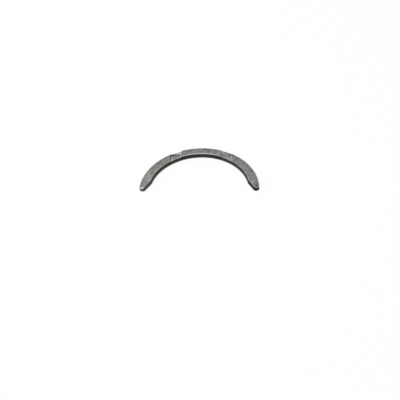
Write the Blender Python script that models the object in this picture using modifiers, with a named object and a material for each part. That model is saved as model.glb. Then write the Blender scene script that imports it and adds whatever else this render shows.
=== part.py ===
"""Half-moon crankshaft thrust washer.

One flat, horseshoe-shaped piece of bimetal strip: a steel back and a thin bearing lining
on the thrust face. It lies on its steel back with the thrust face up.
Metres, +Z up. The back face is at z = 0, the symmetry line is the Y axis and the open side
faces -Y. The origin is the middle of the washer's bounding box on the back face.
"""
import math

import bmesh
import bpy

# Driving dimensions of the blank
outer_radius = 0.0350
strip_width = 0.0061
thickness = 0.0023

# The two ends: each stops short of the joint line y = 0 through the arc centre, is rounded,
# and has its inner side relieved by a straight cut
joint_clearance = 0.0003
end_radius = 0.0018
relief_height = 0.0065

# The two oil grooves run straight across the thrust face, parallel to the symmetry line
groove_spacing = 0.0302
groove_width = 0.0063
groove_depth = 0.00035
groove_flank_angle = math.radians(45.0)

# Edges: the thrust face has a small break along its outer side and a wide one along its inner
# side, where it clears the shaft's fillet; the back has the roll from blanking all round
outer_edge_break = 0.0002
inner_edge_break = 0.0006
back_edge_roll = 0.0003
edge_segments = 2

# Fineness of the round stretches
outer_arc_steps = 76
inner_arc_steps = 60
end_arc_steps = 9

# Room that a cutter keeps beyond the surface that it cuts
cutter_overrun = 0.001
weld_distance = 0.000001

# Sizes that follow
inner_radius = outer_radius - strip_width
end_centre_distance = outer_radius - end_radius
end_centre_angle = math.asin((end_radius + joint_clearance) / end_centre_distance)
relief_angle = math.asin(relief_height / inner_radius)
arc_centre_y = -(outer_radius + joint_clearance) / 2.0
thrust_face_z = thickness


def clear_scene():
    for old in list(bpy.data.objects):
        bpy.data.objects.remove(old, do_unlink=True)


def make_collection(name):
    collection = bpy.data.collections.new(name)
    bpy.context.scene.collection.children.link(collection)
    return collection


def make_material(name, colour, roughness, metallic):
    material = bpy.data.materials.new(name)
    material.use_nodes = True
    shader = material.node_tree.nodes["Principled BSDF"]
    shader.inputs["Base Color"].default_value = (*colour, 1.0)
    shader.inputs["Roughness"].default_value = roughness
    shader.inputs["Metallic"].default_value = metallic
    return material


def polar(radius, angle):
    return radius * math.cos(angle), radius * math.sin(angle)


def arc(centre, radius, start, end, steps):
    """Points along an arc, both ends included."""
    points = []
    for step in range(steps + 1):
        x, y = polar(radius, start + (end - start) * step / steps)
        points.append((centre[0] + x, centre[1] + y))
    return points


def tangent_angle(point, centre, radius):
    """Where on a circle the line from a point above it touches on the circle's inner side."""
    to_point = math.atan2(point[1] - centre[1], point[0] - centre[0])
    distance = math.hypot(point[0] - centre[0], point[1] - centre[1])
    return to_point + math.acos(radius / distance) - 2.0 * math.pi


# The right-hand end's circle touches the outer arc from inside and stays the joint clearance
# above the joint line, so one radius places it. The relief runs from the inner arc to it.
end_centre = polar(end_centre_distance, end_centre_angle)
relief_touch_angle = tangent_angle(polar(inner_radius, relief_angle), end_centre, end_radius)


def blank_outline():
    """The washer's outline about its arc centre, counter-clockwise from the right-hand end."""
    right_end = arc(end_centre, end_radius, relief_touch_angle, end_centre_angle, end_arc_steps)
    outer = arc((0.0, 0.0), outer_radius, end_centre_angle, math.pi - end_centre_angle, outer_arc_steps)
    left_end = [(-x, y) for x, y in reversed(right_end)]
    inner = arc((0.0, 0.0), inner_radius, math.pi - relief_angle, relief_angle, inner_arc_steps)
    return right_end[:-1] + outer + left_end[1:] + inner


def flat_solid(name, outline, depth, collection, location, rotation=(0.0, 0.0, 0.0)):
    """A closed mesh from a flat outline, extruded by half its depth to each side."""
    curve = bpy.data.curves.new(name + "_outline", "CURVE")
    curve.dimensions = "2D"
    curve.fill_mode = "BOTH"
    curve.extrude = depth / 2.0
    spline = curve.splines.new("POLY")
    spline.points.add(len(outline) - 1)
    for point, (x, y) in zip(spline.points, outline):
        point.co = (x, y, 0.0, 1.0)
    spline.use_cyclic_u = True

    drawn = bpy.data.objects.new(name + "_outline", curve)
    drawn.location = location
    drawn.rotation_euler = rotation
    collection.objects.link(drawn)
    bpy.context.view_layer.update()

    evaluated = drawn.evaluated_get(bpy.context.evaluated_depsgraph_get())
    mesh = bpy.data.meshes.new_from_object(evaluated)
    mesh.name = name
    weld_caps(mesh)
    solid = bpy.data.objects.new(name, mesh)
    solid.matrix_world = drawn.matrix_world
    collection.objects.link(solid)
    bpy.data.objects.remove(drawn, do_unlink=True)
    bpy.data.curves.remove(curve)
    return solid


def weld_caps(mesh):
    """Join the loose caps to the wall and turn each cap into one flat face."""
    bm = bmesh.new()
    bm.from_mesh(mesh)
    bmesh.ops.remove_doubles(bm, verts=bm.verts, dist=weld_distance)
    bmesh.ops.dissolve_limit(bm, angle_limit=math.radians(0.1), verts=bm.verts, edges=bm.edges)
    bmesh.ops.recalc_face_normals(bm, faces=bm.faces)
    bm.to_mesh(mesh)
    bm.free()


def face_rim_break(x, y):
    """How far the thrust face's rim is broken at a point of the outline about the arc centre.

    It widens evenly round each end, from the outer arc to the relief.
    """
    if math.hypot(x, y) > outer_radius - outer_edge_break:
        return outer_edge_break
    reach = math.hypot(abs(x) - end_centre[0], y - end_centre[1])
    angle = math.atan2(y - end_centre[1], abs(x) - end_centre[0])
    if reach > end_radius or angle < relief_touch_angle:
        return inner_edge_break
    share = (end_centre_angle - angle) / (end_centre_angle - relief_touch_angle)
    return outer_edge_break + share * (inner_edge_break - outer_edge_break)


def weight_rims(mesh):
    """Give each rim edge its share of the widest edge break as its bevel weight."""
    weights = mesh.attributes.new("bevel_weight_edge", "FLOAT", "EDGE")
    for edge in mesh.edges:
        first, last = [mesh.vertices[index].co for index in edge.vertices]
        if first.z > 0.0 and last.z > 0.0:
            middle = (first + last) / 2.0
            weights.data[edge.index].value = face_rim_break(middle.x, middle.y) / inner_edge_break
        elif first.z < 0.0 and last.z < 0.0:
            weights.data[edge.index].value = back_edge_roll / inner_edge_break


def groove_cutter(name, x, collection):
    """A bar with sloping flanks that lies across the thrust face at the given x."""
    slope = math.tan(groove_flank_angle)
    floor_half = groove_width / 2.0 - groove_depth * slope
    top_half = groove_width / 2.0 + cutter_overrun * slope
    profile = [
        (-floor_half, -groove_depth),
        (floor_half, -groove_depth),
        (top_half, cutter_overrun),
        (-top_half, cutter_overrun),
    ]
    length = outer_radius + 2.0 * cutter_overrun
    upright = (math.radians(90.0), 0.0, 0.0)
    cutter = flat_solid(name, profile, length, collection, (x, 0.0, thrust_face_z), upright)
    cutter.hide_render = True
    cutter.display_type = "WIRE"
    return cutter


def build_thrust_washer():
    parts = make_collection("thrust_washer")
    cutters = make_collection("cutters")

    place = (0.0, arc_centre_y, thickness / 2.0)
    washer = flat_solid("thrust_washer", blank_outline(), thickness, parts, place)
    weight_rims(washer.data)
    washer.data.materials.append(make_material("bearing_metal", (0.23, 0.23, 0.225), 0.45, 1.0))

    rims = washer.modifiers.new("edge_breaks", "BEVEL")
    rims.limit_method = "WEIGHT"
    rims.width = inner_edge_break
    rims.segments = edge_segments

    for side, name in ((-1.0, "oil_groove_left"), (1.0, "oil_groove_right")):
        cutter = groove_cutter(name, side * groove_spacing / 2.0, cutters)
        cut = washer.modifiers.new(name, "BOOLEAN")
        cut.operation = "DIFFERENCE"
        cut.object = cutter

    washer.data.shade_smooth()
    washer.data.set_sharp_from_angle(angle=math.radians(30.0))
    return washer


clear_scene()
build_thrust_washer()
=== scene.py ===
# %% [markdown]
# # A half-moon thrust washer on a pale table
#
# This washer sits beside a main bearing and stops a crankshaft from sliding along its
# axis. It is stamped from flat strip: a steel back with a thin grey bearing lining on
# the face that rubs. Two straight oil grooves cross that face.
#
# The solid model of the washer already exists, with its real sizes. This lesson dresses it:
# it keeps every size, and adds what makes the piece look real, such as rolled edges, burrs,
# soft groove flanks, faint waves and a metal finish that varies from place to place.

# %% Load the solid model as the frame
import math

import bpy
import numpy as np
from mathutils import Matrix, Vector, noise


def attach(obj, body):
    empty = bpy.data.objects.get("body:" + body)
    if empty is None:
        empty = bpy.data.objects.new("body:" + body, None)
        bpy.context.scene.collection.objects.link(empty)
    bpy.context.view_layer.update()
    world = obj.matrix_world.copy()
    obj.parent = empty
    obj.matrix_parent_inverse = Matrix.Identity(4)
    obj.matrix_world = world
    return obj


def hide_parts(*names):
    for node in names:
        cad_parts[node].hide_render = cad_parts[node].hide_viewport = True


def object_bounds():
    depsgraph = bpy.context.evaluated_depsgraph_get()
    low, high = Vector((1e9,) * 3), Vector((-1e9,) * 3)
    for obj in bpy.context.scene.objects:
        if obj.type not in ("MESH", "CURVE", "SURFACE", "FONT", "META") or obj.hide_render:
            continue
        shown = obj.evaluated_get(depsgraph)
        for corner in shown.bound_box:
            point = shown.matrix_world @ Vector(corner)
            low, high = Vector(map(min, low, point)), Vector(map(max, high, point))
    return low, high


MM = 0.001
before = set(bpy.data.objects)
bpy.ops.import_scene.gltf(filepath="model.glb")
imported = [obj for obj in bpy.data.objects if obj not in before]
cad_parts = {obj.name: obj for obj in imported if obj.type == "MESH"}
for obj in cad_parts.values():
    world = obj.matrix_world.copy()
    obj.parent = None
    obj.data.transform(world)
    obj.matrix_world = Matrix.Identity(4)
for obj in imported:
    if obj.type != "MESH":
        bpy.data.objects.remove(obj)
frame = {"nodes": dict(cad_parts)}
cad_low, cad_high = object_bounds()
print("solids in the frame:", ", ".join(frame["nodes"]))
print("their box, in mm:", [round(side / MM, 2) for side in cad_high - cad_low])

# %% [markdown]
# ## The sizes
#
# The place and the thickness are read from the solid model's box, so that the dressed piece
# can't drift away from it: the crown of the arc touches the box's far side. The rest is
# named here once, as on a drawing, and everything below is worked out from it. Places are
# given about the centre of the arcs, x to the right and y towards the crown.
#
# A groove is given by four places across it, from left to right: the top and the foot of
# its left flank, then the foot and the top of its right flank.

# %% The washer's sizes
outer_radius = 35.0 * MM
strip_width = 6.1 * MM
inner_radius = outer_radius - strip_width
thickness = cad_high.z - cad_low.z
arc_centre_y = cad_high.y - outer_radius

joint_clearance = 0.22 * MM
tip_radius = 1.86 * MM
relief_height = 6.5 * MM

groove_depth = 0.33 * MM
left_groove = (-18.5 * MM, -18.15 * MM, -12.9 * MM, -11.85 * MM)
right_groove = (11.95 * MM, 12.3 * MM, 17.9 * MM, 18.35 * MM)

face_edge_break = 0.12 * MM
back_edge_roll = 0.3 * MM
print("inner radius, in mm:", round(inner_radius / MM, 2))
print("arc centre, in mm from the origin:", round(arc_centre_y / MM, 2))

# %% [markdown]
# ## The camera
#
# The photograph was taken from about half a right angle above the table, with a long lens,
# so the washer shows hardly any perspective. The camera is placed by an azimuth, an
# elevation and a distance from the point on the table in the middle of the picture, because
# such numbers are easier to reason about than a raw position. The picture is also tilted a
# little, which is a roll about the line of sight. The lens follows from the number of
# pixels that the washer's outer radius takes up in the photograph.

# %% Place the camera
view_azimuth = math.radians(6.06)
view_elevation = math.radians(45.4)
view_roll = math.radians(-4.61)
view_distance = 544.0 * MM
aim_point = Vector((0.82 * MM, arc_centre_y - 6.70 * MM, 0.0))
radius_pixels = 60.76
photo_pixels = 400
nearest_seen = 10.0 * MM
farthest_seen = 20.0

camera = bpy.data.objects.new("camera", bpy.data.cameras.new("camera"))
bpy.context.scene.collection.objects.link(camera)
bpy.context.scene.camera = camera
bpy.context.scene.view_settings.view_transform = "Standard"
photo_width = outer_radius * photo_pixels / radius_pixels
camera.data.lens = camera.data.sensor_width * view_distance / photo_width
camera.data.clip_start = nearest_seen
camera.data.clip_end = farthest_seen

towards_camera = Vector((
    math.sin(view_azimuth) * math.cos(view_elevation),
    -math.cos(view_azimuth) * math.cos(view_elevation),
    math.sin(view_elevation),
))
level = (-towards_camera).to_track_quat("-Z", "Y").to_matrix().to_4x4()
position = Matrix.Translation(aim_point + towards_camera * view_distance)
camera.matrix_world = position @ level @ Matrix.Rotation(view_roll, 4, "Z")
print("lens, in mm:", round(camera.data.lens, 1))

# %% [markdown]
# ## Node expressions
#
# A finish is a small calculation that runs at every point of the surface. Written out as
# node calls, it is hard to read, so a wrapper class stands for a node's output, and Python
# operators on it add the Math nodes. The reflected forms let a plain number stand on the
# left, as in `1 - mask`. Any other node comes from one method, which sets the node's
# settings first and then its inputs.

# %% A wire that can be calculated with
class Wire:
    """One output of a node. Arithmetic on it adds Math nodes to its tree."""

    def __init__(self, tree, socket):
        self.tree = tree
        self.socket = socket

    def math(self, operation, *values, clamp=False):
        settings = {"operation": operation, "use_clamp": clamp}
        return self.tree.node("ShaderNodeMath", settings, dict(enumerate(values)))

    def __add__(self, other):
        return self.math("ADD", self, other)

    def __radd__(self, other):
        return self.math("ADD", other, self)

    def __sub__(self, other):
        return self.math("SUBTRACT", self, other)

    def __rsub__(self, other):
        return self.math("SUBTRACT", other, self)

    def __mul__(self, other):
        return self.math("MULTIPLY", self, other)

    def __rmul__(self, other):
        return self.math("MULTIPLY", other, self)

    def clamped(self):
        """The same value, kept between 0 and 1."""
        return self.math("ADD", self, 0.0, clamp=True)

    def ramp(self, low, high):
        """0 below low, 1 above high, and a smooth step between."""
        inputs = {"Value": self, "From Min": low, "From Max": high}
        return self.tree.node("ShaderNodeMapRange", {"interpolation_type": "SMOOTHSTEP"}, inputs)


# %% A tree that expressions fill
class Tree:
    """A node tree that is emptied, then filled by expressions."""

    def __init__(self, node_tree):
        self.nodes = node_tree.nodes
        self.links = node_tree.links
        self.nodes.clear()

    def node(self, kind, settings=None, inputs=None, output=0):
        """Adds a node and returns one of its outputs. An input takes a wire or a value."""
        made = self.nodes.new(kind)
        for name, value in (settings or {}).items():
            setattr(made, name, value)
        for name, value in (inputs or {}).items():
            if isinstance(value, Wire):
                self.links.new(value.socket, made.inputs[name])
            else:
                made.inputs[name].default_value = value
        return Wire(self, made.outputs[output]) if made.outputs else None

    def parts(self, vector):
        """The x, y and z of a vector."""
        split = self.node("ShaderNodeSeparateXYZ", inputs={"Vector": vector}).socket.node
        return [Wire(self, split.outputs[axis]) for axis in "XYZ"]

    def attribute(self, name):
        return self.node("ShaderNodeAttribute", {"attribute_name": name}, output="Fac")

    def noise(self, place, size, detail, roughness):
        """Noise whose blotches are about the given size in metres."""
        inputs = {"Vector": place, "Scale": 1.0 / size, "Detail": detail, "Roughness": roughness}
        return self.node("ShaderNodeTexNoise", inputs=inputs)

    def stretched(self, place, x=1.0, y=1.0, z=1.0):
        """Coordinates that run slower along some axes, so that noise on them is drawn out."""
        return self.node("ShaderNodeMapping", inputs={"Vector": place, "Scale": (x, y, z)})

    def mix(self, share, first, second):
        """Colour mixing: all first at share 0, all second at share 1."""
        inputs = {0: share, 6: first, 7: second}
        return self.node("ShaderNodeMix", {"data_type": "RGBA"}, inputs, output=2)


# %% Colours as they are read off a screen
def colour(red, green, blue):
    """A colour in levels from 0 to 255, turned into linear light."""
    linear = []
    for level in (red, green, blue):
        share = level / 255.0
        linear.append(share / 12.92 if share <= 0.04045 else ((share + 0.055) / 1.055) ** 2.4)
    return (*linear, 1.0)


print("middle grey in linear light:", round(colour(128, 128, 128)[0], 3))

# %% [markdown]
# ## The table
#
# The background is plain white, so the table is a large white sheet. Most of its white is
# there for the camera and for reflections only, through the Light Path node: that way the
# sheet is white in the picture without more light on the washer, and the rest of it is
# an ordinary matte surface that still takes the washer's soft shadow.

# %% Make the table
table_half_size = 3.0
table_gap = 0.02 * MM
white_share = 0.85
pure_white = (1.0, 1.0, 1.0, 1.0)
matte_white = (0.95, 0.95, 0.95, 1.0)


def make_white_sheet():
    sheet = bpy.data.materials.new("white_sheet")
    sheet.use_nodes = True
    tree = Tree(sheet.node_tree)
    rays = ("Is Camera Ray", "Is Glossy Ray", "Is Transmission Ray")
    seen = sum(tree.node("ShaderNodeLightPath", output=ray) for ray in rays).clamped()
    matte = tree.node("ShaderNodeBsdfDiffuse", inputs={"Color": matte_white})
    glow = tree.node("ShaderNodeEmission", inputs={"Color": pure_white, "Strength": 1.0})
    shown = tree.node("ShaderNodeMixShader", inputs={0: seen * white_share, 1: matte, 2: glow})
    tree.node("ShaderNodeOutputMaterial", inputs={"Surface": shown})
    return sheet


def make_table():
    mesh = bpy.data.meshes.new("table")
    corners = [(-1, -1), (1, -1), (1, 1), (-1, 1)]
    vertices = [(x * table_half_size, y * table_half_size, -table_gap) for x, y in corners]
    mesh.from_pydata(vertices, [], [(0, 1, 2, 3)])
    mesh.materials.append(make_white_sheet())
    table = bpy.data.objects.new("table", mesh)
    bpy.context.scene.collection.objects.link(table)


make_table()
print("table, in m across:", 2.0 * table_half_size)

# %% [markdown]
# ## The light
#
# The light is that of a small studio tent: a grey sky that is a little brighter overhead and
# darker on the right, one large softbox above and one low at the back left, which draws the
# bright flanks of the grooves. A sky gives soft light from everywhere with no lamp to place,
# and two lamps are then enough. A lamp is given by its brightness per area, so it can be
# made larger without becoming brighter.

# %% Make the sky
horizon_light = 0.9
overhead_light = 1.0
overhead_from, overhead_to = 0.0, 0.8
right_shade = 0.35
shade_from, shade_to = -0.6, 0.8


def make_sky():
    world = bpy.data.worlds.new("tent")
    world.use_nodes = True
    bpy.context.scene.world = world
    tree = Tree(world.node_tree)
    right, _, up = tree.parts(tree.node("ShaderNodeTexCoord", output="Generated"))
    strength = horizon_light + (overhead_light - horizon_light) * up.ramp(overhead_from, overhead_to)
    strength = strength - right_shade * right.ramp(shade_from, shade_to)
    sky = tree.node("ShaderNodeBackground", inputs={"Color": pure_white, "Strength": strength})
    tree.node("ShaderNodeOutputWorld", inputs={"Surface": sky})


make_sky()
print("sky, from the horizon to overhead:", horizon_light, "to", overhead_light)

# %% Make the softboxes
softboxes = {
    # place in metres, width and height, and brightness
    "overhead_softbox": ((-0.12, -0.05, 0.60), (0.45, 0.45), 1.4),
    "back_left_softbox": ((-0.50, 0.45, 0.12), (0.35, 0.25), 2.2),
}


def make_softbox(name, place, size, brightness):
    """A rectangular lamp that faces the washer."""
    lamp = bpy.data.lights.new(name, "AREA")
    lamp.shape = "RECTANGLE"
    lamp.size, lamp.size_y = size
    lamp.energy = brightness * math.pi * lamp.size * lamp.size_y
    made = bpy.data.objects.new(name, lamp)
    bpy.context.scene.collection.objects.link(made)
    made.location = place
    made.rotation_euler = (-Vector(place)).to_track_quat("-Z", "Y").to_euler()
    print(name, "in W:", round(lamp.energy, 2))


for name, settings in softboxes.items():
    make_softbox(name, *settings)

# %% [markdown]
# ## The outline as two rails
#
# Seen from above, the washer lies between two rails that run from its crown to each end:
# the outer one along the outer arc and round the end, the inner one along the inner arc,
# down the straight relief cut and round the other side of the same end. Straight ribs join
# the rails, like the rungs of a bent ladder. Near the crown the ribs run parallel to the
# oil grooves, so that each groove flank lies exactly along ribs and stays crisp. Further
# down they turn gradually to lie across the strip.
#
# The outline could also be drawn as a curve and filled, but a fill gives long, uneven faces
# that can't carry grooves and burrs. A ladder of ribs gives small, even quads everywhere.

# %% One half of the outline
rail_fineness = 0.02 * MM
cut_zone = 1.3
quarter_turn = math.pi / 2.0


def bend(centre, radii, angles):
    """Points round a centre, where the radius may change with the angle."""
    return np.column_stack([centre[0] + radii * np.cos(angles), centre[1] + radii * np.sin(angles)])


def fine_angles(start, end, radius):
    return np.linspace(start, end, max(3, int(abs(end - start) * radius / rail_fineness)))


class HalfOutline:
    """Half of an outline, for x from 0 upwards, about the arc centre.

    It is set in from full size by one amount along the outer side, and on the inner side by
    one at the crown and another along the relief cut. It passes smoothly from each to the next.
    """

    def __init__(self, outer_inset=0.0, crown_inset=0.0, cut_inset=0.0):
        reach = outer_radius - tip_radius
        self.start = math.asin((tip_radius + joint_clearance) / reach)
        self.tip = np.array([math.cos(self.start), math.sin(self.start)]) * reach
        relief_angle = math.asin(relief_height / inner_radius)
        to_corner = np.array([math.cos(relief_angle), math.sin(relief_angle)]) * inner_radius - self.tip
        lean = math.acos(tip_radius / np.hypot(*to_corner))
        self.touch = math.atan2(to_corner[1], to_corner[0]) + lean - 2.0 * math.pi
        self.cut_normal = np.array([math.cos(self.touch), math.sin(self.touch)])
        self.outer_radius = outer_radius - outer_inset
        self.inner_insets = crown_inset, cut_inset
        self.tip_radii = tip_radius - outer_inset, tip_radius - cut_inset
        self.corner = self.find_corner(self.inner_radius_at(relief_angle))

    def tip_radius_at(self, angles):
        share = np.clip((self.start - angles) / (self.start - self.touch), 0.0, 1.0)
        return self.tip_radii[0] + share * (self.tip_radii[1] - self.tip_radii[0])

    def inner_radius_at(self, angles):
        crown_inset, cut_inset = self.inner_insets
        return inner_radius + cut_inset + (crown_inset - cut_inset) * np.sin(angles) ** 2

    def find_corner(self, arc_radius):
        """Where the straight relief cut meets the inner arc."""
        touching = self.tip + self.cut_normal * self.tip_radii[1]
        along = np.array([self.cut_normal[1], -self.cut_normal[0]])
        middle = touching @ along
        reach = math.sqrt(middle**2 - touching @ touching + arc_radius**2)
        return touching + along * min(-middle - reach, -middle + reach, key=abs)

    def rails(self):
        """The outer and the inner rail, from the crown to the middle of the tip."""
        apex = (self.start + self.touch) / 2.0
        corner_angle = math.atan2(self.corner[1], self.corner[0])
        outer_arc = fine_angles(quarter_turn, self.start, self.outer_radius)
        inner_arc = fine_angles(quarter_turn, corner_angle, inner_radius)
        outer_tip = fine_angles(self.start, apex, self.tip_radii[0])[1:]
        inner_tip = fine_angles(self.touch, apex, self.tip_radii[1])
        arc_centre = (0.0, 0.0)
        outer = [bend(arc_centre, self.outer_radius, outer_arc)]
        inner = [bend(arc_centre, self.inner_radius_at(inner_arc), inner_arc)]
        outer.append(bend(self.tip, self.tip_radius_at(outer_tip), outer_tip))
        inner.append(bend(self.tip, self.tip_radius_at(inner_tip), inner_tip))
        return np.vstack(outer), np.vstack(inner)

    def distances(self, x, y):
        """How far places lie inside the outer and inside the inner edge."""
        radius = np.hypot(x, y)
        to_outer = self.outer_radius - radius
        to_inner = radius - self.inner_radius_at(np.arctan2(y, x))
        from_tip_x, from_tip_y = x - self.tip[0], y - self.tip[1]
        past_tip = from_tip_x * self.cut_normal[0] + from_tip_y * self.cut_normal[1]
        by_the_cut = y < cut_zone * self.corner[1]
        to_inner = np.where(by_the_cut, np.minimum(to_inner, self.tip_radii[1] - past_tip), to_inner)
        angle = np.arctan2(from_tip_y, from_tip_x)
        to_tip = self.tip_radius_at(angle) - np.hypot(from_tip_x, from_tip_y)
        in_tip = (angle > self.touch) & (angle < self.start)
        return np.where(in_tip, to_tip, to_outer), np.where(in_tip, to_tip, to_inner)


print("relief corner, in mm:", np.round(HalfOutline().corner / MM, 2))

# %% Where the ribs stand along the rails
rib_spacing = 0.17 * MM
fine_rib_spacing = 0.095 * MM
groove_margin = 0.8 * MM
last_upright_rib = 19.3 * MM
tip_gap = 0.03 * MM


def upright_rib_places():
    """Where the upright ribs stand: evenly between marks, with a mark at each groove edge."""
    edges = sorted(abs(place) for place in left_groove + right_groove)
    marks = [0.0, edges[0] - groove_margin, *edges, last_upright_rib]
    places = [0.0]
    for low, high in zip(marks[:-1], marks[1:]):
        steps = math.ceil((high - low) / (fine_rib_spacing if low > 0.0 else rib_spacing))
        places += list(np.linspace(low, high, steps + 1)[1:])
    return np.array(places)


def run_lengths(points):
    """How far each point of a path lies from its start, along the path."""
    steps = np.linalg.norm(np.diff(points, axis=0), axis=1)
    return np.concatenate([[0.0], np.cumsum(steps)])


def rail_feet(rail, upright, slanted_ribs):
    """The feet of all ribs on one rail: at given x first, then evenly to the tip."""
    along = run_lengths(rail)
    first = np.interp(upright, rail[:, 0], along)
    rest = np.linspace(first[-1], along[-1] - tip_gap, slanted_ribs + 1)[1:]
    lengths = np.concatenate([first, rest])
    return np.column_stack([np.interp(lengths, along, rail[:, axis]) for axis in (0, 1)])


upright = upright_rib_places()
slanted_stretch = outer_radius * math.acos(last_upright_rib / outer_radius) + tip_radius
slanted_ribs = round(slanted_stretch / rib_spacing)
print("ribs on each side of the crown:", len(upright) - 1, "upright and", slanted_ribs, "slanted")

# %% Both halves together
outer_taper = 0.05 * MM
inner_taper = 0.97 * MM
left_cut_taper = 0.78 * MM
right_cut_taper = 0.62 * MM


class Outline:
    """A whole outline, from its left-hand tip over the crown to its right-hand tip."""

    def __init__(self, arc_insets=(0.0, 0.0), cut_insets=(0.0, 0.0)):
        self.left = HalfOutline(*arc_insets, cut_insets[0])
        self.right = HalfOutline(*arc_insets, cut_insets[1])

    def feet(self):
        """The outer and the inner foot of every rib."""
        sides = []
        for side in (self.left, self.right):
            sides.append([rail_feet(rail, upright, slanted_ribs) for rail in side.rails()])
        mirror = np.array([-1.0, 1.0])
        return [np.vstack([left[:0:-1] * mirror, right]) for left, right in zip(*sides)]

    def distances(self, x, y):
        left, right = self.left.distances(-x, y), self.right.distances(x, y)
        return [np.where(x < 0.0, *pair) for pair in zip(left, right)]


back_outline = Outline()
face_outline = Outline((outer_taper, inner_taper), (left_cut_taper, right_cut_taper))
print("ribs:", len(face_outline.feet()[0]))

# %% [markdown]
# ## The two faces as height maps
#
# Each face is a height above the table that depends only on the place in the plan. So every
# feature is one small function that says how far it lowers or raises the metal: the edge
# break, the grooves with the lips that the tool raised beside them, burrs and the faint
# waviness of rolled strip. Adding them up is simpler, and easier to change, than cutting
# each one with a tool, and they can overlap freely. Only a lip and the burr don't add up:
# where they meet, the higher one counts.
#
# The uneven features use Blender's own noise. It fills space, so each of them takes another
# layer of it, at a height of its own, and no two have the same bumps.

# %% Helpers for shaping
def smooth_step(value, low, high):
    """0 below low, 1 above high, and a smooth step between."""
    share = np.clip((value - low) / (high - low), 0.0, 1.0)
    return share * share * (3.0 - 2.0 * share)


def soft_line(distance, width):
    """1 on a line, fading away softly at about twice the width to either side."""
    return np.exp(-((distance / width) ** 2))


def rounded_drop(distance, radius):
    """How far a rounded edge lies below its face, at a distance inside the edge."""
    reach = np.clip(distance, 0.0, radius)
    return radius - np.sqrt(np.maximum(radius**2 - (radius - reach) ** 2, 0.0))


def waviness(x, y, size, layer):
    """Smooth noise between about -0.5 and 0.5, with bumps of about the given size."""
    values = [noise.noise(Vector((px / size, py / size, layer))) for px, py in zip(x.ravel(), y.ravel())]
    return np.array(values).reshape(x.shape)


# %% The oil grooves
lip_height = 0.05 * MM
lip_width = 0.25 * MM
mouth_start = 29.3 * MM
mouth_blend = 0.4 * MM
mouth_slope = math.tan(math.radians(6.0))


def groove_share(x):
    """1 on a groove's floor, 0 on the face, and smooth on the flanks between."""
    share = 0.0
    for groove in (left_groove, right_groove):
        share += smooth_step(x, *groove[:2]) - smooth_step(x, *groove[2:])
    return share


def groove_lips(x):
    """The ridges that the tool raised along both sides of each groove."""
    lips = 0.0
    for left, _, _, right in (left_groove, right_groove):
        lips += soft_line(x - left + lip_width, lip_width) + soft_line(x - right - lip_width, lip_width)
    return lips


def in_left_mouth(x, y):
    """1 where the left-hand groove runs out to the washer's outer edge."""
    return groove_share(x) * (x < 0.0) * smooth_step(y, mouth_start, mouth_start + mouth_blend)


def mouth_drop(x, y):
    """The slope by which that groove falls away towards the outer edge."""
    return in_left_mouth(x, y) * mouth_slope * np.maximum(y - mouth_start, 0.0)


# %% The burr and the worn tip
burr_height = 0.045 * MM
burr_width = 0.22 * MM
burr_patch_size = 1.5 * MM
burr_layer = 3.0
burr_everywhere = 0.35
burr_at_crown = 0.9
burr_crown_reach = 9.0 * MM
burr_patchiness = 1.2
burr_most = 1.2
facet_start = 1.75 * MM
facet_slope = 0.22


def inner_burr(x, y, to_inner):
    """The uneven ridge that shearing leaves along the inner edge, strongest at the crown."""
    strength = burr_everywhere + burr_at_crown * soft_line(x, burr_crown_reach)
    strength += burr_patchiness * waviness(x, y, burr_patch_size, burr_layer)
    return burr_height * soft_line(to_inner - burr_width, burr_width) * np.clip(strength, 0.0, burr_most)


def tip_facet(x, y):
    """The slope that wear has left on the left-hand tip."""
    return facet_slope * np.maximum(facet_start - y, 0.0) * (x < 0.0)


# %% The heights of both faces
wave_height = 0.012 * MM
wave_size = 4.0 * MM
wave_layer = 7.0
peel_height = 0.012 * MM
peel_size = 0.9 * MM
peel_layer = 11.0


def thrust_face_height(x, y):
    to_outer, to_inner = face_outline.distances(x, y)
    height = thickness - groove_depth * groove_share(x) - mouth_drop(x, y) - tip_facet(x, y)
    height += np.maximum(lip_height * groove_lips(x), inner_burr(x, y, to_inner))
    height += wave_height * waviness(x, y, wave_size, wave_layer)
    height += peel_height * waviness(x, y, peel_size, peel_layer)
    return height - rounded_drop(np.minimum(to_outer, to_inner), face_edge_break)


def back_face_height(x, y):
    to_outer, to_inner = back_outline.distances(x, y)
    return rounded_drop(np.minimum(to_outer, to_inner), back_edge_roll)


samples = {"crown": (0.0, 32.0), "left groove": (-15.5, 27.0), "right groove": (15.1, 28.0)}
for name, (x, y) in samples.items():
    height = thrust_face_height(np.array([x * MM]), np.array([y * MM]))[0]
    print("height in the", name, "in mm:", round(height / MM, 2))
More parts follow.
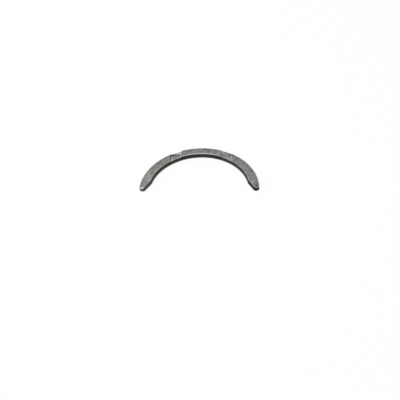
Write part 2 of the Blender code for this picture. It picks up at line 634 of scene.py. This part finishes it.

# %% [markdown]
# ## Where highlights and shade are painted
#
# The finish needs two more maps over the plan. One says where highlights are painted on the lining: a
# line along the inner edge, strongest at the crown, the right-hand flank of each groove, which faces the
# light, the mouth of the left-hand groove, the glint on the left-hand tip, and a few fainter lighter
# patches. The other says where the lining is painted dark: painted shade on the left-hand flank of each
# groove, which faces away from the light, across the step at the left-hand mouth and beside that
# groove's right-hand lip, then a darker outer rim, a dark spot near the right-hand end and a few darker
# patches. They are worked out from the same features as the heights, and go to the finish as attributes
# of the mesh's points. Painting them on an image would tie them to one size of image, and noise alone
# can't place them.

# %% Single painted highlights and dark marks
# Painted highlights: the glint on the left-hand tip, a bright streak in the left-hand groove and the
# glint on the burr at the crown. The others are lighter patches.
highlight_marks = [
    # centre, half sizes and strength of each soft oval, in mm
    ((-33.1, 0.95), (1.7, 0.9), 0.85),
    ((-30.8, 10.0), (2.8, 4.6), 0.18),
    ((-17.4, 25.6), (0.4, 1.4), 0.85),
    ((-2.4, 31.8), (0.9, 1.2), 0.12),
    ((-0.3, 29.9), (0.5, 0.5), 0.6),
    ((13.0, 31.8), (0.9, 1.6), 0.6),
    ((27.4, 20.2), (1.5, 1.2), 0.14),
    ((32.3, 10.6), (1.1, 2.0), 0.2),
    ((30.7, 5.2), (0.6, 1.5), 0.25),
]
# Painted shade at the outer ends of both grooves, a dark spot near the right-hand end, and fainter
# darker patches.
shade_and_dark_marks = [
    ((33.1, 2.6), (0.5, 0.8), 1.1),
    ((17.0, 29.0), (1.5, 0.9), 0.5),
    ((-17.2, 29.7), (1.2, 0.6), 0.5),
    ((-32.3, 3.2), (1.6, 0.9), 0.3),
    ((-28.1, 18.0), (1.6, 1.6), 0.3),
    ((-21.6, 22.2), (1.3, 1.1), 0.18),
    ((-19.6, 25.2), (1.0, 1.2), 0.12),
    ((-6.2, 31.9), (2.0, 1.2), 0.15),
    ((0.2, 34.2), (1.2, 0.7), 0.15),
    ((3.2, 33.2), (1.9, 0.9), 0.24),
    ((19.3, 27.0), (1.0, 1.3), 0.15),
    ((22.6, 21.4), (1.5, 1.5), 0.22),
    ((30.0, 15.0), (1.1, 1.5), 0.2),
]


def soft_marks(x, y, marks):
    """The sum of soft ovals, each with a centre, half sizes and a strength."""
    total = 0.0
    for (middle_x, middle_y), (half_x, half_y), strength in marks:
        across = (x / MM - middle_x) / half_x
        along = (y / MM - middle_y) / half_y
        total += strength * np.exp(-(across**2) - along**2)
    return total


print("single marks:", len(highlight_marks), "rubbed,", len(shade_and_dark_marks), "darkened")

# %% Painted highlights
# Painted highlights on the right-hand flank of each groove, which faces the light, at the mouth of the
# left-hand groove and along the inner edge.
stripe_blend = 0.12 * MM
flank_highlight = 0.12
flank_patch_highlight = 0.35
flank_patch_place = 27.3 * MM
flank_patch_length = 0.9 * MM
mouth_highlight = 0.8
mouth_highlight_setback = 0.5 * MM
mouth_highlight_left_side = -17.6 * MM
edge_highlight = 0.9
edge_highlight_inset = 0.3 * MM
edge_highlight_width = 0.33 * MM
edge_highlight_far_away = 0.2
edge_highlight_crown_reach = 10.0 * MM


def stripe(x, low, high):
    """1 between two places across the washer, with soft sides."""
    rise = smooth_step(x, low - stripe_blend, low + stripe_blend)
    return rise - smooth_step(x, high - stripe_blend, high + stripe_blend)


def highlight_share(x, y, to_inner):
    """How much painted highlight the lining takes: marks, the right-hand flanks, a patch higher on the
    right-hand groove's flank, the mouth, the inner edge.
    """
    left_flank, right_flank = stripe(x, *left_groove[2:]), stripe(x, *right_groove[2:])
    flank_patch = right_flank * soft_line(y - flank_patch_place, flank_patch_length)
    mouth = in_left_mouth(x, y - mouth_highlight_setback) * stripe(x, mouth_highlight_left_side, left_groove[2])
    edge = soft_line(to_inner - edge_highlight_inset, edge_highlight_width)
    edge *= edge_highlight_far_away + soft_line(x, edge_highlight_crown_reach)
    rubbed = soft_marks(x, y, highlight_marks) + flank_highlight * (left_flank + right_flank)
    return np.clip(rubbed + flank_patch_highlight * flank_patch + mouth_highlight * mouth + edge_highlight * edge, 0.0, 1.0)


# %% Painted shade and darker places
# Painted shade on the left-hand flank of each groove, which faces away from the light, across the step
# at the left-hand mouth and beside the left-hand groove's right lip. The outer rim is darker too.
rim_darkening = 0.2
rim_darkening_width = 1.6 * MM
left_flank_shade = 0.9
left_flank_shade_from, left_flank_shade_to = 25.0 * MM, 27.8 * MM
step_shade = 0.8
step_place = 28.9 * MM
step_width = 0.55 * MM
lip_shade = 0.35
lip_shade_from, lip_shade_to = 0.1 * MM, 0.5 * MM
right_flank_shade = 0.15
right_flank_shade_patch = 0.45
right_patch_place = 29.3 * MM
right_patch_length = 1.3 * MM


def shade_and_dark_share(x, y, to_outer):
    """How dark the lining is painted: marks, the outer rim, then painted shade on the grooves' left-hand
    flanks, the step and the lip.
    """
    left_top, left_foot, left_far_foot, left_lip = left_groove
    shade_and_dark = soft_marks(x, y, shade_and_dark_marks) + rim_darkening * soft_line(to_outer, rim_darkening_width)
    far_enough = smooth_step(y, left_flank_shade_from, left_flank_shade_to)
    shade_and_dark += left_flank_shade * stripe(x, left_top, left_foot) * far_enough
    shade_and_dark += step_shade * stripe(x, left_foot, left_far_foot) * soft_line(y - step_place, step_width)
    shade_and_dark += lip_shade * stripe(x, left_lip + lip_shade_from, left_lip + lip_shade_to)
    patch = soft_line(y - right_patch_place, right_patch_length)
    shade_and_dark += stripe(x, *right_groove[:2]) * (right_flank_shade + right_flank_shade_patch * patch)
    return np.clip(shade_and_dark, 0.0, 1.0)


# %% [markdown]
# ## The faces and the wall
#
# Both faces take the same ribs, with points packed close together near the edges, where the
# rounding needs them. The wall is a band of quads that runs all the way round and ties
# the rims of the two faces together.
#
# A punch doesn't cut a straight wall. Going up from the back there is the roll that it
# pulled down, then a smooth upright band that it sheared, and then metal that tore away at a
# slant, up to a small burr at the thrust face. So the thrust face is a little smaller than
# the back, most of all on the inner side.

# %% Points over a face
round_steps = 6
middle_steps = 30
most_for_an_edge = 0.35


def rib_shares(length, edge_zone):
    """Places along a rib as shares of its length: round steps at both ends, even between."""
    zone = min(edge_zone, most_for_an_edge * length) / length
    angles = np.linspace(0.0, quarter_turn, round_steps + 1)
    near = zone * (1.0 - np.cos(angles))
    middle = np.linspace(zone, 1.0 - zone, middle_steps + 1)[1:-1]
    return np.concatenate([near, middle, 1.0 - near[::-1]])


def face_points(outline, edge_zone, height_at):
    """A grid of points, ribs by places along the rib, at the height of their face."""
    outer, inner = outline.feet()
    lengths = np.hypot(*(inner - outer).T)
    shares = np.array([rib_shares(length, edge_zone) for length in lengths])[..., None]
    plan = outer[:, None, :] * (1.0 - shares) + inner[:, None, :] * shares
    return np.dstack([plan, height_at(plan[..., 0], plan[..., 1])])


top = face_points(face_outline, face_edge_break, thrust_face_height)
back = face_points(back_outline, back_edge_roll, back_face_height)
print("points in each face:", top.shape[0], "ribs by", top.shape[1])

# %% Points over the wall
wall_steps = 14
sheared_height = 1.0 * MM
band_wave_height = 0.3 * MM
band_wave_size = 2.5 * MM
band_wave_layer = 5.0
band_grain_height = 0.2 * MM
band_grain_size = 0.6 * MM
band_grain_layer = 6.0
tear_roughness = 0.035 * MM
tear_size = 0.45 * MM
tear_layers = 20.0
tear_start_blend = 0.15
tear_end_blend = 0.3


def grid_loop(rows, columns):
    """Index pairs once round the rim of a grid, without repeating a corner."""
    loop = [(row, 0) for row in range(rows)]
    loop += [(rows - 1, column) for column in range(1, columns)]
    loop += [(row, columns - 1) for row in range(rows - 2, -1, -1)]
    loop += [(0, column) for column in range(columns - 2, 0, -1)]
    return tuple(np.array(loop).T)


def inward_directions(rim):
    """The level direction into the metal at each point of a rim."""
    along = np.roll(rim, -1, axis=0) - np.roll(rim, 1, axis=0)
    inward = np.column_stack([along[:, 1], -along[:, 0]])
    return inward / np.linalg.norm(inward, axis=1)[:, None]


def wall_rings(back_rim, face_rim):
    """The rings of points between the rims of the two faces, from the back upwards."""
    x, y, low = back_rim.T
    high = face_rim[:, 2]
    inward = inward_directions(back_rim[:, :2])
    band_top = sheared_height + band_wave_height * waviness(x, y, band_wave_size, band_wave_layer)
    band_top += band_grain_height * waviness(x, y, band_grain_size, band_grain_layer)
    rings = []
    for share in np.linspace(0.0, 1.0, wall_steps + 1)[1:-1]:
        height = low + (high - low) * share
        above_band = (height - band_top) / (high - band_top)
        slant = np.clip(above_band, 0.0, 1.0)
        torn = smooth_step(above_band, -tear_start_blend, tear_start_blend)
        depth = tear_roughness * torn * smooth_step(1.0 - share, 0.0, tear_end_blend)
        plan = back_rim[:, :2] + (face_rim[:, :2] - back_rim[:, :2]) * slant[:, None]
        plan += inward * (depth * waviness(x, y, tear_size, tear_layers * share))[:, None]
        rings.append(np.column_stack([plan, height]))
    return np.array(rings)


rim = grid_loop(*top.shape[:2])
between = wall_rings(back[rim], top[rim])
print("points in the wall:", between.shape[0], "rings of", between.shape[1])

# %% [markdown]
# ## The skin, cut like cloth
#
# All the points are numbered: the thrust face, the back, then the rings of the wall. Each
# part of the skin is a grid of such numbers, and each quad joins four neighbours in a grid,
# always in the same turning order, so that every quad faces outwards.
#
# When the piece leaves Blender, its finish is painted into images, and each quad needs a
# place of its own there. Blender can unwrap a mesh by itself, but on a bent strip it makes
# many small islands. So the skin is cut like cloth: each face in two at the crown, and the
# wall at the crown and at both tips. Each strip is laid out straight, with its real lengths,
# and the eight strips lie side by side.

# %% Number the points and cut the skin into strips
def cut_up(grid, cuts):
    """The lengths of a grid between cuts. Neighbours share the row at their cut."""
    return [grid[low:high + 1] for low, high in zip(cuts[:-1], cuts[1:])]


rows, columns = top.shape[:2]
top_numbers = np.arange(rows * columns).reshape(rows, columns)
back_numbers = top_numbers + top_numbers.size
between_numbers = np.arange(between[..., 0].size).reshape(between.shape[:2]) + 2 * top_numbers.size
wall_numbers = np.vstack([back_numbers[rim], between_numbers, top_numbers[rim]]).T
wall_numbers = np.vstack([wall_numbers, wall_numbers[:1]])

crown = rows // 2
far_tip = between.shape[1] // 2
strips = cut_up(top_numbers, [0, crown, rows - 1]) + cut_up(back_numbers[:, ::-1], [0, crown, rows - 1])
strips += cut_up(wall_numbers, [0, crown, far_tip, far_tip + crown, between.shape[1]])
print("strips, as rows by points:", [strip.shape for strip in strips])

# %% Lay the strips out flat
strip_gap = 0.4 * MM


def grid_quads(grid):
    """The quads between neighbours in a grid of point numbers."""
    return np.dstack([grid[:-1, :-1], grid[:-1, 1:], grid[1:, 1:], grid[1:, :-1]]).reshape(-1, 4)


def flat_strip(points):
    """A strip of the skin laid out flat, with its real lengths across and along its middle."""
    along = run_lengths(points[:, points.shape[1] // 2])
    across = np.array([run_lengths(row) for row in points])
    across += (across[:, -1].max() - across[:, -1:]) / 2.0
    return np.dstack([across, np.broadcast_to(along[:, None], across.shape)])


def flat_map(vertices):
    """Where each corner of each quad lies in the unit square."""
    corners = []
    sheet_width = strip_gap
    for strip in strips:
        flat = flat_strip(vertices[strip]) + np.array([sheet_width, strip_gap])
        sheet_width = flat[..., 0].max() + strip_gap
        places = np.arange(strip.size).reshape(strip.shape)
        corners.append(flat.reshape(-1, 2)[grid_quads(places)].reshape(-1, 2))
    corners = np.vstack(corners)
    sheet_length = corners[:, 1].max() + strip_gap
    print("flat skin, in mm:", round(sheet_width / MM, 1), "by", round(sheet_length / MM, 1))
    return corners / np.array([sheet_width, sheet_length])


# %% Build the mesh
def build_washer_mesh():
    vertices = np.vstack([part.reshape(-1, 3) for part in (top, back, between)])
    quads = np.vstack([grid_quads(strip) for strip in strips])
    mesh = bpy.data.meshes.new("thrust_washer_skin")
    mesh.from_pydata((vertices + np.array([0.0, arc_centre_y, 0.0])).tolist(), [], quads.tolist())
    mesh.shade_smooth()
    mesh.uv_layers.new(name="OFBake").data.foreach_set("uv", flat_map(vertices).ravel())

    x, y = vertices[:, 0], vertices[:, 1]
    to_outer, to_inner = face_outline.distances(x, y)
    on_wall = np.zeros(len(vertices))
    on_wall[wall_numbers] = 1.0
    for name, values in {
        "rubbed": highlight_share(x, y, to_inner),
        "shade_and_dark": shade_and_dark_share(x, y, to_outer),
        "wall": on_wall,
    }.items():
        mesh.attributes.new(name, "FLOAT", "POINT").data.foreach_set("value", values.astype(np.float32))
    return mesh


washer_mesh = build_washer_mesh()
washer = bpy.data.objects.new("thrust_washer_skin", washer_mesh)
bpy.context.scene.collection.objects.link(washer)
upper_quads = [quad for quad in washer_mesh.polygons if quad.center.z > thickness / 2.0]
facing_up = sum(quad.normal.z * quad.area for quad in upper_quads)
print("quads in the skin:", len(washer_mesh.polygons))
print("area that faces up, in mm2:", round(facing_up / MM**2, 1))

# %% [markdown]
# ## The finish of the metal
#
# One material covers the whole piece, because it is one strip of metal. The mesh's `wall`
# attribute tells the sheared wall from the faces, and the direction that the surface faces
# tells the steel back from the lining. Each of the three has a function of its own below.
#
# All three start from the same noises on the object's own coordinates, in metres: clouds of
# about two millimetres, a grain below that, and fine lines along the direction in which the
# strip was rolled. Noise needs no image, and it stays sharp from close by.

# %% What the surfaces share
cloud_size = 2.6 * MM
grain_size = 0.6 * MM
rolling_width = 0.16 * MM
rolling_stretch = 0.06
cloud_share, grain_share, rolling_share = 0.42, 0.42, 0.16
mottle_from, mottle_to = 0.39, 0.61


class Metal(Tree):
    """The finish's tree, with the wires that its three surfaces share."""

    def __init__(self, node_tree):
        super().__init__(node_tree)
        self.place = self.node("ShaderNodeTexCoord", output="Object")
        self.x, self.y, self.z = self.parts(self.place)
        self.up = self.parts(self.node("ShaderNodeTexCoord", output="Normal"))[2]
        self.rubbed = self.attribute("rubbed")
        self.shade_and_dark = self.attribute("shade_and_dark")
        self.on_wall = self.attribute("wall")

        cloud = self.noise(self.place, cloud_size, detail=4.0, roughness=0.6)
        self.grain = self.noise(self.place, grain_size, detail=5.0, roughness=0.75)
        along_strip = self.stretched(self.place, x=rolling_stretch)
        self.rolling = self.noise(along_strip, rolling_width, detail=3.0, roughness=0.6)
        mottle = cloud_share * cloud + grain_share * self.grain + rolling_share * self.rolling
        self.mottle = mottle.ramp(mottle_from, mottle_to)


# %% [markdown]
# ## The lining
#
# The bearing lining is a soft grey alloy, rolled onto the steel: dull, cloudy and grainy, with a faint
# cast that changes along the washer, greener at the left end and more violet at the right. Where
# highlights are painted it is nearly white, and where shade or darker patches are painted it is nearly
# black. Small flecks break up the sides of both, because neither ends in a smooth line.

# %% Colour the lining
left_lining = (colour(113, 113, 110), colour(163, 164, 160))
crown_lining = (colour(111, 111, 111), colour(163, 162, 163))
right_lining = (colour(111, 109, 112), colour(160, 158, 161))
left_lining_to, crown_lining_from = -16.0 * MM, -8.0 * MM
crown_lining_to, right_lining_from = 14.0 * MM, 30.0 * MM
highlight_lining = colour(215, 213, 214)
shade_and_dark_lining = colour(62, 62, 58)
fleck_size = 0.35 * MM
highlight_between_flecks, highlight_on_flecks = 0.35, 1.1
highlight_fleck_from, highlight_fleck_to = 0.3, 0.7
dark_between_flecks, dark_on_flecks = 0.25, 1.4
dark_fleck_from, dark_fleck_to = 0.35, 0.65


def lining_colour(metal):
    stretches = (left_lining, crown_lining, right_lining)
    left, crown, right = [metal.mix(metal.mottle, *tones) for tones in stretches]
    lining = metal.mix(metal.x.ramp(left_lining_to, crown_lining_from), left, crown)
    lining = metal.mix(metal.x.ramp(crown_lining_to, right_lining_from), lining, right)
    flecks = metal.noise(metal.place, fleck_size, detail=5.0, roughness=0.7)
    bright_flecks = highlight_on_flecks * flecks.ramp(highlight_fleck_from, highlight_fleck_to)
    dark_flecks = dark_on_flecks * flecks.ramp(dark_fleck_from, dark_fleck_to)
    # Painted highlights go towards a near-white, and painted shade and darker patches towards a
    # near-black.
    rubbed = metal.rubbed * (highlight_between_flecks + bright_flecks)
    darkened = metal.shade_and_dark * (dark_between_flecks + dark_flecks)
    return metal.mix(darkened, metal.mix(rubbed, lining, highlight_lining), shade_and_dark_lining)


# %% [markdown]
# ## The wall
#
# Sheared and oiled steel is much darker than the lining, and partly that is painted shade, because the
# wall stands in shade. The lower band is drawn smooth by the punch, with fine upright lines. Above it
# the metal is torn, darker still and pitted. The border between them wanders, so it is the height plus a
# little of both noises. Painted light makes the wall lighter at the left and at the left end, and the
# wall is lighter too on the right above the relief cut.

# %% Colour the wall
# Painted shade: these wall colours are darker than the steel alone, because the wall stands in shade.
shaded_sheared_steel = (colour(57, 57, 57), colour(85, 85, 85))
shaded_torn_steel = (colour(37, 37, 37), colour(61, 61, 61))
drawing_width = 0.14 * MM
drawing_stretch = 0.05
tearing_size = 0.22 * MM
steel_tone_from, steel_tone_to = 0.3, 0.7
drawing_wander, tearing_wander = 0.6 * MM, 0.3 * MM
torn_border = 0.2 * MM
line_relief, pit_relief = 0.5, 2.0

# Painted light: the wall is painted lighter at the left and at the left end, where more light falls on
# it. It is also lighter on the right above the relief cut.
left_wall_light = colour(107, 107, 91)
left_wall_light_share = 0.28
left_wall_light_from, left_wall_light_to = -24.0 * MM, -12.0 * MM
left_end_wall_light = colour(110, 109, 106)
left_end_wall_light_share = 0.36
left_end_wall_light_from, left_end_wall_light_to = -32.0 * MM, -26.0 * MM
right_wall_lift = colour(108, 107, 109)
right_wall_lift_share = 0.23
right_wall_lift_from, right_wall_lift_to = 12.0 * MM, 22.0 * MM
relief_border = 2.0 * MM


def wall_colour_and_relief(metal):
    """The wall's colour, and the relief of its lines and pits."""
    tearing = metal.noise(metal.place, tearing_size, detail=4.0, roughness=0.7)
    upright_lines = metal.stretched(metal.place, z=drawing_stretch)
    drawing = metal.noise(upright_lines, drawing_width, detail=3.0, roughness=0.6)
    wandering = metal.z + drawing_wander * (drawing - 0.5) + tearing_wander * (tearing - 0.5)
    torn = wandering.ramp(sheared_height, sheared_height + torn_border)
    sheared_colour = metal.mix(drawing.ramp(steel_tone_from, steel_tone_to), *shaded_sheared_steel)
    torn_colour = metal.mix(tearing.ramp(steel_tone_from, steel_tone_to), *shaded_torn_steel)
    wall = metal.mix(torn, sheared_colour, torn_colour)

    above_relief = (metal.y - arc_centre_y).ramp(relief_height, relief_height + relief_border)
    at_left = (1.0 - metal.x.ramp(left_wall_light_from, left_wall_light_to)) * left_wall_light_share
    at_left_end = (1.0 - metal.x.ramp(left_end_wall_light_from, left_end_wall_light_to)) * left_end_wall_light_share
    at_right = metal.x.ramp(right_wall_lift_from, right_wall_lift_to) * above_relief * right_wall_lift_share
    wall = metal.mix(at_left_end, metal.mix(at_left, wall, left_wall_light), left_end_wall_light)
    relief = line_relief * drawing * (1.0 - torn) + pit_relief * tearing * torn
    return metal.mix(at_right, wall, right_wall_lift), relief


# %% [markdown]
# ## The steel back and the whole
#
# The back is bare steel, a warmer grey than the lining, with faint stains from heat and oil in broad
# patches. It is laid on wherever the surface faces down steeply, and the rolled edge between back and
# wall takes the wall's dark colour, as painted shade where it curls under towards the table.
#
# Then the three surfaces are mixed. Where highlights are painted the metal is also smoother, and where
# shade or darker patches are painted it is rougher, so both feed the roughness, and the grain and the
# tool's lines feed a Bump node.

# %% Colour the steel back
back_steel = (colour(140, 134, 127), colour(160, 154, 147))
heat_stain = colour(153, 142, 139)
oil_stain = colour(132, 122, 113)
stain_size = 5.0 * MM
stain_share = 0.6
heat_from, heat_to = 0.5, 0.7
oil_from, oil_to = 0.52, 0.72


def back_colour(metal):
    stain = metal.noise(metal.place, stain_size, detail=4.0, roughness=0.6)
    steel = metal.mix(metal.mottle, *back_steel)
    steel = metal.mix(stain.ramp(heat_from, heat_to) * stain_share, steel, heat_stain)
    return metal.mix((1.0 - stain).ramp(oil_from, oil_to) * stain_share, steel, oil_stain)


# %% Mix the finish
usual_roughness = 0.5
highlight_smoothness = 0.16
shade_and_dark_roughness = 0.12
mottle_smoothness = 0.16
metallic_share = 0.95
bump_strength = 0.35
bump_height = 0.03 * MM
grain_relief, rolling_relief = 0.6, 0.4
underside_from, underside_to = 0.05, 0.15
roll_shade_to_back_from, roll_shade_to_back_to = 0.6, 0.9


def make_finish():
    finish = bpy.data.materials.new("bimetal_strip")
    finish.use_nodes = True
    metal = Metal(finish.node_tree)
    wall, wall_relief = wall_colour_and_relief(metal)
    down = 0.0 - metal.up
    # Painted shade: the rolled edge under the wall takes the wall's dark colour, and the back's colour
    # starts only where the surface faces down steeply.
    underside = metal.mix(down.ramp(roll_shade_to_back_from, roll_shade_to_back_to), wall, back_colour(metal))
    surface = metal.mix(metal.on_wall, lining_colour(metal), wall)
    surface = metal.mix(down.ramp(underside_from, underside_to), surface, underside)

    roughness = usual_roughness - highlight_smoothness * metal.rubbed + shade_and_dark_roughness * metal.shade_and_dark
    roughness = roughness - mottle_smoothness * (metal.mottle - 0.5)
    face_relief = grain_relief * metal.grain + rolling_relief * metal.rolling
    relief = face_relief * (1.0 - metal.on_wall) + wall_relief * metal.on_wall
    bumped = metal.node("ShaderNodeBump", inputs={
        "Strength": bump_strength, "Distance": bump_height, "Height": relief,
    })
    shader = metal.node("ShaderNodeBsdfPrincipled", inputs={
        "Base Color": surface, "Metallic": metallic_share, "Roughness": roughness, "Normal": bumped,
    })
    metal.node("ShaderNodeOutputMaterial", inputs={"Surface": shader})
    print("nodes in the finish:", len(finish.node_tree.nodes))
    return finish


washer_mesh.materials.append(make_finish())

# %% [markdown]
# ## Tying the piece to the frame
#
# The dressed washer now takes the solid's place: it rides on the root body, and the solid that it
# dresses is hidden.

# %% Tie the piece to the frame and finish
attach(washer, "root")
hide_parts("thrust_washer")
bpy.context.view_layer.update()
